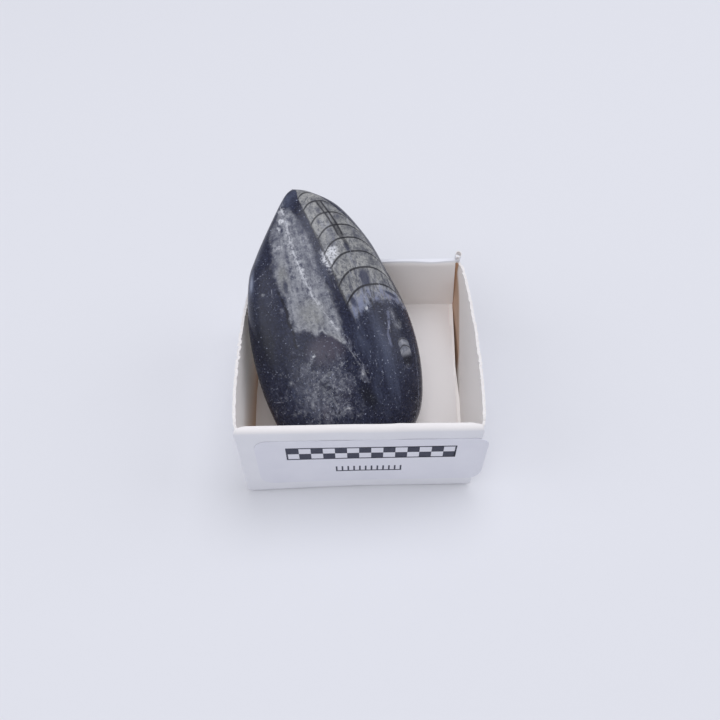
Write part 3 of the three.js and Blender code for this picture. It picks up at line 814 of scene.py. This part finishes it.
# one blank: front flap, rolled front wall, base, rolled back wall, sloping liner
def buildBlank(strip, materials):
    half = tray["depth"] / 2
    outer = half - 0.02 - tray["card"] / 2
    inner = outer - tray["roll"]
    top = tray["height"] - tray["card"] / 2
    base, flapHeight, linerFoot = tray["baseHeight"], tray["flapHeight"], tray["linerFoot"]
    path = [
        (tray["flapEnd"], tray["flapRise"]), (tray["flapPressed"], flapHeight),
        (-inner + 0.06, flapHeight), (-inner, top - 0.35), (-inner - 0.22, top),
        (-outer + 0.3, top - 0.06), (-outer, top - 0.75), (-outer, base),
        (outer, base), (outer, top - 0.3), (outer - 0.3, top), (inner + 0.2, top - 0.12), (inner, top - 0.8),
        (inner - 0.02, tray["linerFold"]), (tray["linerTouch"], linerFoot), (tray["linerEnd"], linerFoot)]
    width = tray["blankWidth"]

    def linerAt(y):
        return np.interp(y, [tray["linerTouch"], inner], [linerFoot, tray["linerFold"]])

    def place(points):
        x, y, z = points.T.copy()
        side = np.sign(x)
        share = 1 - np.clip(1 - np.abs(x) / (width / 2), 0, 1) ** tray["edgePull"]
        # the inner plies and flaps are cut narrower than the outer walls
        isBase = (z < 0.4)
        innerPly = (np.abs(y) < inner + 0.25) & ~isBase
        roll = np.clip((outer - np.abs(y)) / (outer - inner), 0, 1) * (~isBase)
        halfWidth = width / 2 - 0.62 * roll - 0.4 * isBase
        flap = innerPly & (z < linerAt(y) - 0.2) & (y > -inner + 0.3) & (y < inner - 0.3)
        ramp = innerPly & ~flap & (z > 0.95) & (y < inner - 0.3)
        backPly = innerPly & (y > inner - 0.3)
        halfWidth = np.where(ramp, np.interp(y, *zip(*tray["linerEdge"])), halfWidth)
        halfWidth = np.where(backPly, 19.72 - 0.78 * np.clip((z - 7.7) / 12.3, 0, 1), halfWidth)
        halfWidth = np.where(flap, 19.74 - 0.4 * np.clip((y + 4) / 9, 0, 1), halfWidth)
        x = side * share * halfWidth
        back = np.clip((y - 12) / 5.5, 0, 1)
        x = x + tray["leftBackInset"] * lean(z) * (20 - x) / 40 * back * (np.abs(y) > inner - 0.3)
        # creased card is softly uneven
        wall = np.clip((z - 2) / 6, 0, 1) * (np.abs(y) > inner - 0.3)
        y = y + waves(x, z, tray["seed"], 0.05) * wall
        onTop = np.clip((z - 19) / 1, 0, 1)
        z = z + onTop * (waves(x, y * 0, tray["seed"] + 3, 0.06) - 0.06 + 0.2 * (y > 17))
        z = z + onTop * dent(x, tray["frontNick"]) * (y < -17.6) * (y > -18.6)
        z = z + onTop * dent(x, tray["backDip"]) * (y > 17)
        y = y + dent(x, tray["backDent"]) * np.clip((z - 15) / 5, 0, 1) * (y > 17) * (y < 18.3)
        y = y - frontSag(x, z) * np.where(isBase, np.clip((-12 - y) / 6, 0, 1), y < -inner - 0.3)
        bow = np.clip((y + 8) / 26, 0, 1) * np.clip((17.5 - y) / 4, 0, 1)
        z = z + np.where(ramp, tray["linerBow"] * np.sin(bow * np.pi), 0)
        return np.stack([x, y, z], axis=-1)

    def insideRule(points, normals):
        x, y, z = points.T
        within = (np.abs(y) < inner + 0.3) & (z > 0.45) & (z < 19.6)
        fold = np.clip((z - 18.9) / 0.6, 0, 1) * 0.45 * (y < 0)
        # painted shade: warm brown deep down under the liner, past the flap's end and on the flap's top,
        # where little light reaches
        below = (z < linerAt(y) - 0.3) & (np.abs(y) < inner) & (z > 0.3)
        flapTop = (normals[:, 2] > 0.5) & (np.abs(x) < tray["flapShadeHalf"])
        bare = np.where(below & ((y > tray["flapEnd"]) | flapTop), 0.95, 0.0)
        # painted light: points inside the tray near the right wall, the flap's strip beside the liner among
        # them, glow strongly; the rest of the inside faintly
        rightEdge = within & (x > 18.95) & (y > -17) & (y < inner - 0.3)
        return np.maximum(np.maximum(within * 0.5, fold), bare), within * np.where(rightEdge, 0.9, 0.15)

    blank = foldStrip("trayBlank", path, width, place, materials, strip, tray["card"],
                      tray["foldRadius"], tray["crossCuts"])
    markInside(blank, insideRule)
    return blank


# a side wall with a tab at each end, turned into the rolled walls; its top is a raw cut
def buildSideWall(strip, materials, side):
    card, top, openHalf = tray["card"], tray["wallTop"], tray["openHalf"]
    wallX = tray["width"] / 2 - 0.05 - card / 2
    tabY = tray["depth"] / 2 - 0.02 - card - (tray["roll"] - card) / 2
    path = [(wallX - 8, -tabY), (wallX, -tabY), (wallX, tabY), (wallX - 8, tabY)]

    def place(points):
        rise, x, y = points.T.copy()  # the strip's width becomes height
        share = rise / top + 0.5
        nick = np.clip((np.abs(y) - openHalf + 0.75) / 0.5, 0, 1) * 0.5
        rng = np.random.RandomState(tray["seed"] + int(side > 0))
        coarse = np.interp(y, np.linspace(-19, 19, 80), rng.normal(0, 0.035, 80))
        frayed = np.interp(y, np.linspace(-19, 19, 110), rng.normal(0, 0.04, 110))
        # the left wall's edge is torn over a short stretch
        torn = tray["tear"] * (side < 0) * np.exp(-((y - tray["tearMiddle"]) / tray["tearReach"]) ** 2)
        x = x + frayed * np.clip((share - 0.96) / 0.04, 0, 1) * (1 + 4 * torn)
        coarse = coarse * (1 + 6 * torn) - 0.2 * torn
        z = 0.02 + share * (top - nick + coarse - 0.02)
        along = np.clip((y + openHalf) / (2 * openHalf), 0, 1)
        arch = np.sin(np.pi * along)
        if side < 0:
            bulge = tray["leftBackInset"] * along - tray["leftBulge"] * arch ** tray["leftFullness"]
            shift = bulge * lean(z)
        else:
            bulge = tray["rightFlare"] + tray["rightBulge"] * arch ** tray["rightFullness"]
            shift = bulge * lean(z) ** tray["rightEarly"]
        near = np.clip((x - wallX + 3) / 3, 0, 1)  # 0 on the tabs
        foot = np.clip(1 - z / 0.45, 0, 1) ** 2 * 0.12 * near
        x = side * (x - foot) + shift * near
        x = x + waves(y, z, tray["seed"] + 9, 0.05) * near * np.clip(z / 4, 0, 1)
        return np.stack([x, y, z], axis=-1)

    def insideRule(points, normals):
        x, y, z = points.T
        inward = np.clip(-side * normals[:, 0] * 2, 0, 1) * (np.abs(y) < 18.1)
        # painted shade: the inner face turns warm brown, on the left below 12.5 mm and growing towards the
        # foot, on the right below a slanted line that follows the liner's shadow
        if side < 0:
            low = np.clip((12.5 - z) / 10, 0, 1)
        else:
            low = np.clip((5.9 + 0.86 * (y - 4.3) - z) / 1.6, 0, 1) * np.clip((y - 3) / 3, 0, 1)
        tab = (y > 17) * np.clip(-normals[:, 1] * 2, 0, 1)
        # painted light: the inner faces glow, the left wall more than the right
        return np.maximum(inward * (0.5 + 0.45 * low), tab), inward * (0.55 if side < 0 else 0.25)

    name = "leftWall" if side < 0 else "rightWall"
    wall = foldStrip(name, path, top, place, materials, strip, card * 0.95, 0.55, 44)
    # the knife leaves a soft burr along the top
    points = readPoints(wall.data) / mm
    outwards = readPoints(wall.data, "normal") * (1, 1, 0)
    burr = tray["burr"] * np.clip((points[:, 2] - top + 0.7) / 0.7, 0, 1) ** 2
    ruffle = 1 + np.sin(points[:, 1] * 3.1 + side) * 0.5 + np.sin(points[:, 1] * 7.3) * 0.4
    writePoints(wall.data, (points + outwards * (burr * ruffle)[:, None]) * mm)
    markInside(wall, insideRule)
    return wall


# a cut corner of the back roll, sprung open into a small curl; it lies leaning back at an angle
def buildCurl(strip, materials):
    path = [(-0.5, -0.55), (-0.52, 0.45), (-0.3, 0.72), (0.2, 0.74), (0.52, 0.4), (0.5, -0.2),
            (0.1, -0.5), (-0.4, -0.35)]
    middle, slant = tray["curlMiddle"], math.radians(tray["curlSlant"])

    def place(points):
        depth, across, up = points.T
        depth = depth + 0.55
        y = middle[1] + up * math.sin(slant) + depth * math.cos(slant)
        z = middle[2] + up * math.cos(slant) - depth * math.sin(slant)
        return np.stack([middle[0] + across, y, z], axis=-1)

    def insideRule(points, normals):
        inward = (points[:, 0] - middle[0]) * normals[:, 0] < 0
        return np.where(inward, 0.5, 0.0), np.zeros(len(points))

    curl = foldStrip("cornerCurl", path, tray["curlWidth"], place, materials, strip,
                     tray["curlCard"], 0.28, 10)
    markInside(curl, insideRule)
    return curl


# the label and what is printed on it, in mm
label = {
    "left": -17.2, "right": 21.35, "bottom": 2.95, "top": 16.7, "corner": 2.4, "thickness": 0.12,
    "columns": 90, "rows": 46, "curl": 0.06, "freeFrom": 19.6,  # past here it stands off the tray
    "barLeft": -12.0, "barBottom": 11.0, "block": 2.0, "rowHeight": 1.75, "blocks": 14,
    "ruleLeft": -3.9, "ruleBottom": 6.2, "ruleTick": 1.0, "ruleTicks": 12, "line": 0.28,
    "tonerThickness": 0.02, "tonerLift": 0.005, "barColumns": 12,
    "paper": [(0.35, "#e7e7ee"), (0.7, "#e2e2ea")], "toner": [(0.3, "#20233a"), (0.75, "#30344a")],
}


# coated adhesive label paper, slightly blue-white with a smooth print surface
def labelPaper(tree):
    where = addNode(tree, "ShaderNodeTexCoord").outputs["Object"]
    cloud = addNode(tree, "ShaderNodeTexNoise", {"Vector": where, "Scale": 160.0, "Detail": 2.0})
    tone = addNode(tree, "ShaderNodeValToRGB", {0: cloud.outputs["Fac"]}, label["paper"])
    grain = addNode(tree, "ShaderNodeTexNoise", {"Vector": where, "Scale": 3000.0, "Detail": 2.0})
    bump = addNode(tree, "ShaderNodeBump", {
        "Strength": 0.1, "Distance": 0.02 * mm, "Height": grain.outputs["Fac"]})
    return {"Base Color": tone, "Roughness": 0.4, "IOR": 1.5, "Specular IOR Level": 0.4, "Normal": bump}


# laser-printed toner: a blue-black layer a few hundredths thick, a little uneven
def printedToner(tree):
    where = addNode(tree, "ShaderNodeTexCoord").outputs["Object"]
    patch = addNode(tree, "ShaderNodeTexNoise", {"Vector": where, "Scale": 2500.0, "Detail": 2.0})
    tone = addNode(tree, "ShaderNodeValToRGB", {0: patch.outputs["Fac"]}, label["toner"])
    return {"Base Color": tone, "Roughness": 0.45}


# a sheet with rounded corners on the front face; rows crowd towards its top and bottom edges
def buildLabel(material):
    columns, rows, corner = label["columns"], label["rows"], label["corner"]
    middle = (label["left"] + label["right"]) / 2
    points = []
    for j in range(rows + 1):
        share = 0.5 - 0.5 * math.cos(math.pi * j / rows)
        z = label["bottom"] + share * (label["top"] - label["bottom"])
        fromEnd = min(z - label["bottom"], label["top"] - z, corner)
        inset = corner - math.sqrt(max(0.0, corner ** 2 - (corner - fromEnd) ** 2))
        half = (label["right"] - label["left"]) / 2 - inset
        for i in range(columns + 1):
            x = middle + half * (2 * i / columns - 1)
            free = max(0.0, x - label["freeFrom"])
            y = -(tray["depth"] + label["thickness"]) / 2 + label["curl"] * free ** 2 - frontSag(x, z)
            points.append((x * mm, y * mm, z * mm))
    faces = []
    for j in range(rows):
        for i in range(columns):
            a = j * (columns + 1) + i
            faces.append((a, a + 1, a + columns + 2, a + columns + 1))
    sheet = meshObject("labelPaper", points, faces, [material])
    solid = sheet.modifiers.new("thickness", "SOLIDIFY")
    solid.thickness = label["thickness"] * mm
    solid.offset = 0
    card = makePlain(sheet)
    shadeSmooth(card, 50)
    return card


# a flat bar of toner, its middle at (across, up)
def tonerBar(tree, given, width, height, across=0.0, up=0.0):
    size = addNode(tree, "ShaderNodeCombineXYZ", {0: width, 1: given["Depth"], 2: height})
    bar = addNode(tree, "GeometryNodeMeshCube", {"Size": size, "Vertices X": given["Bar columns"]})
    place = addNode(tree, "ShaderNodeCombineXYZ", {0: across, 2: up})
    return addNode(tree, "GeometryNodeTransform", {"Geometry": bar, "Translation": place})


# a shape repeated at even gaps
def repeatInRow(tree, shape, count, gap):
    step = addNode(tree, "ShaderNodeCombineXYZ", {0: gap})
    line = addNode(tree, "GeometryNodeMeshLine", {"Count": count, "Offset": step}, mode="OFFSET")
    return addNode(tree, "GeometryNodeInstanceOnPoints", {"Points": line, "Instance": shape})


# Geometry Nodes: a two-row chequered scale bar above a thin ticked rule
def scaleBarTree():
    tree, given = newTree("scaleBar", {
        "Geometry": ["Geometry"], "Float": ["Block", "Row height", "Tick", "Line", "Depth"],
        "Int": ["Blocks", "Ticks", "Bar columns"], "Vector": ["Bar corner", "Rule corner"],
        "Material": ["Toner"]}, "Print")
    # every other size follows from the named inputs, or from those above it
    size = {name: given[name] for name in ("Block", "Row height", "Tick", "Line", "Blocks", "Ticks")}
    for name, operation, a, b in (
            ("pair", "MULTIPLY", "Block", 2.0), ("pairs", "MULTIPLY", "Blocks", 0.5),
            ("rowDown", "MULTIPLY", "Row height", -1.0), ("barWidth", "MULTIPLY", "Block", "Blocks"),
            ("barLine", "ADD", "barWidth", "Line"), ("halfBlock", "MULTIPLY", "Block", 0.5),
            ("left", "MULTIPLY", "Block", -0.5), ("right", "SUBTRACT", "barWidth", "halfBlock"),
            ("halfBar", "MULTIPLY", "barWidth", 0.5), ("middle", "SUBTRACT", "halfBar", "halfBlock"),
            ("top", "MULTIPLY", "Row height", 0.5), ("between", "MULTIPLY", "Row height", -0.5),
            ("foot", "MULTIPLY", "Row height", -1.5), ("endHeight", "MULTIPLY", "Row height", 2.0),
            ("tickHeight", "MULTIPLY", "Tick", 1.6), ("gaps", "SUBTRACT", "Ticks", 1.0),
            ("ruleWidth", "MULTIPLY", "Tick", "gaps"), ("ruleLine", "ADD", "ruleWidth", "Line"),
            ("ruleMiddle", "MULTIPLY", "ruleWidth", 0.5), ("ruleFoot", "MULTIPLY", "Tick", -0.8)):
        terms = {0: size[a], 1: size[b] if isinstance(b, str) else b}
        size[name] = addNode(tree, "ShaderNodeMath", terms, operation=operation)

    block = tonerBar(tree, given, size["Block"], size["Row height"])
    upper = repeatInRow(tree, block, size["pairs"], size["pair"])
    offset = addNode(tree, "ShaderNodeCombineXYZ", {0: size["Block"], 2: size["rowDown"]})
    lower = addNode(tree, "GeometryNodeTransform", {"Geometry": upper, "Translation": offset})
    lines = [tonerBar(tree, given, *(size[name] for name in names)) for names in (
        ("Line", "endHeight", "right", "between"), ("Line", "endHeight", "left", "between"),
        ("barLine", "Line", "middle", "foot"), ("barLine", "Line", "middle", "top"))]
    tick = tonerBar(tree, given, size["Line"], size["tickHeight"])
    ticks = repeatInRow(tree, tick, size["Ticks"], size["Tick"])
    ruleLine = tonerBar(tree, given, size["ruleLine"], size["Line"], size["ruleMiddle"], size["ruleFoot"])
    both = addNode(tree, "GeometryNodeJoinGeometry")
    for parts, corner in (((ruleLine, ticks), "Rule corner"), ((*lines, lower, upper), "Bar corner")):
        joined = addNode(tree, "GeometryNodeJoinGeometry")
        for part in parts:
            tree.links.new(part.outputs[0], joined.inputs[0])
        placed = addNode(tree, "GeometryNodeTransform", {"Geometry": joined, "Translation": given[corner]})
        tree.links.new(placed.outputs[0], both.inputs[0])
    return endTree(tree, both, given["Toner"])


# the printed marks, laid on the label and following its sag
def buildPrint(material):
    carrier = meshObject("labelPrint", [], [])
    modifier = carrier.modifiers.new("print", "NODES")
    modifier.node_group = scaleBarTree()
    y = -tray["depth"] / 2 - label["thickness"] - label["tonerLift"]
    barCorner = (label["barLeft"] + label["block"] / 2, y, label["barBottom"] + 1.5 * label["rowHeight"])
    ruleCorner = (label["ruleLeft"], y, label["ruleBottom"] + 1.2 * label["ruleTick"])
    setInputs(modifier, {
        "Block": label["block"] * mm, "Row height": label["rowHeight"] * mm, "Tick": label["ruleTick"] * mm,
        "Line": label["line"] * mm, "Depth": label["tonerThickness"] * mm, "Blocks": label["blocks"],
        "Ticks": label["ruleTicks"], "Bar columns": label["barColumns"],
        "Bar corner": [value * mm for value in barCorner],
        "Rule corner": [value * mm for value in ruleCorner], "Toner": material})
    printed = makePlain(carrier)
    points = readPoints(printed.data)
    points[:, 1] -= frontSag(points[:, 0] / mm, points[:, 2] / mm) * mm
    writePoints(printed.data, points)
    return printed


cardFace, cardEdge, polished, paper, toner = (makeMaterial(name, surface) for name, surface in (
    ("clayCoatedBoard", coatedBoard), ("rawBoardEdge", rawBoardEdge),
    ("polishedBlackLimestone", polishedLimestone), ("coatedLabelPaper", labelPaper),
    ("printedToner", printedToner)))
print("materials ready")

stonePiece = buildStone([polished])
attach(stonePiece, "root")
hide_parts("fossil_stone")
print("stone ready")

strip = foldedStripTree()
trayPieces = [buildBlank(strip, [cardFace, cardEdge])]
trayPieces += [buildSideWall(strip, [cardFace, cardEdge], side) for side in (-1, 1)]
trayPieces.append(buildCurl(strip, [cardFace, cardEdge]))
for piece in trayPieces:
    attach(piece, "root")
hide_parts("card_tray")
print("tray ready")

labelPiece = buildLabel(paper)
printPiece = buildPrint(toner)
for piece in (labelPiece, printPiece):
    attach(piece, "root")
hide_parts("label")
print("label ready")


# a matte white table under large soft lights; lights are (place in metres, size, watts)
studio = {
    "lightTint": "#f4f6ff",
    "lights": {
        "softTop": ((0.1, 0.24, 0.8), 0.6, 2.5), "softFront": ((-0.3, -0.55, 0.8), 0.7, 1.95),
        "softLeft": ((-0.7, -0.1, 0.5), 0.6, 1.3), "softRight": ((0.7, 0.15, 0.5), 0.6, 1.35)},
    "lensFront": 0.01, "lensBack": 10,
    "floorHalf": 5, "floorDrop": 0.0001,  # metres
    "floor": "#e1e1e3", "world": "#eff1f9", "worldStrength": 0.5,
    "lens": 33.841, "camera": (-0.535, -73.785, 112.155),  # mm
    "right": (0.9998, -0.0179, -0.0031), "up": (0.0162, 0.8025, 0.5965), "back": (-0.0082, -0.5964, 0.8026),
}


# matte studio paper
def studioPaper(tree):
    return {"Base Color": toLinear(studio["floor"]), "Roughness": 0.95, "Specular IOR Level": 0.1}


# a round soft light that looks at the tray
def addArea(name, place, size, power):
    light = bpy.data.lights.new(name, "AREA")
    light.shape = "DISK"
    light.size = size
    light.energy = power
    light.color = toLinear(studio["lightTint"])[:3]
    lamp = bpy.data.objects.new(name, light)
    lamp.location = place
    lamp.rotation_euler = (-Vector(place)).to_track_quat("-Z", "Y").to_euler()
    bpy.context.scene.collection.objects.link(lamp)


reach, drop = studio["floorHalf"], studio["floorDrop"]
floor = meshObject("studioFloor", [
    (-reach, -reach, -drop), (reach, -reach, -drop), (reach, reach, -drop), (-reach, reach, -drop)],
    [(0, 1, 2, 3)], [makeMaterial("studioPaper", studioPaper)])

for name, (place, size, power) in studio["lights"].items():
    addArea(name, place, size, power)

world = bpy.data.worlds.new("studioWorld")
world.use_nodes = True
world.node_tree.nodes.clear()
sky = addNode(world.node_tree, "ShaderNodeBackground", {
    "Color": toLinear(studio["world"]), "Strength": studio["worldStrength"]})
addNode(world.node_tree, "ShaderNodeOutputWorld", {"Surface": sky})
bpy.context.scene.world = world

camera = bpy.data.cameras.new("camera")
camera.sensor_width = 36
camera.lens = studio["lens"]
camera.clip_start, camera.clip_end = studio["lensFront"], studio["lensBack"]
cameraObject = bpy.data.objects.new("camera", camera)
axes = Matrix([studio["right"], studio["up"], studio["back"]]).transposed()
cameraObject.matrix_world = Matrix.Translation(Vector(studio["camera"]) * mm) @ axes.to_4x4()
bpy.context.scene.collection.objects.link(cameraObject)
bpy.context.scene.camera = cameraObject

bpy.context.scene.view_settings.view_transform = "Standard"
bpy.context.scene.view_settings.look = "None"
print("studio ready")
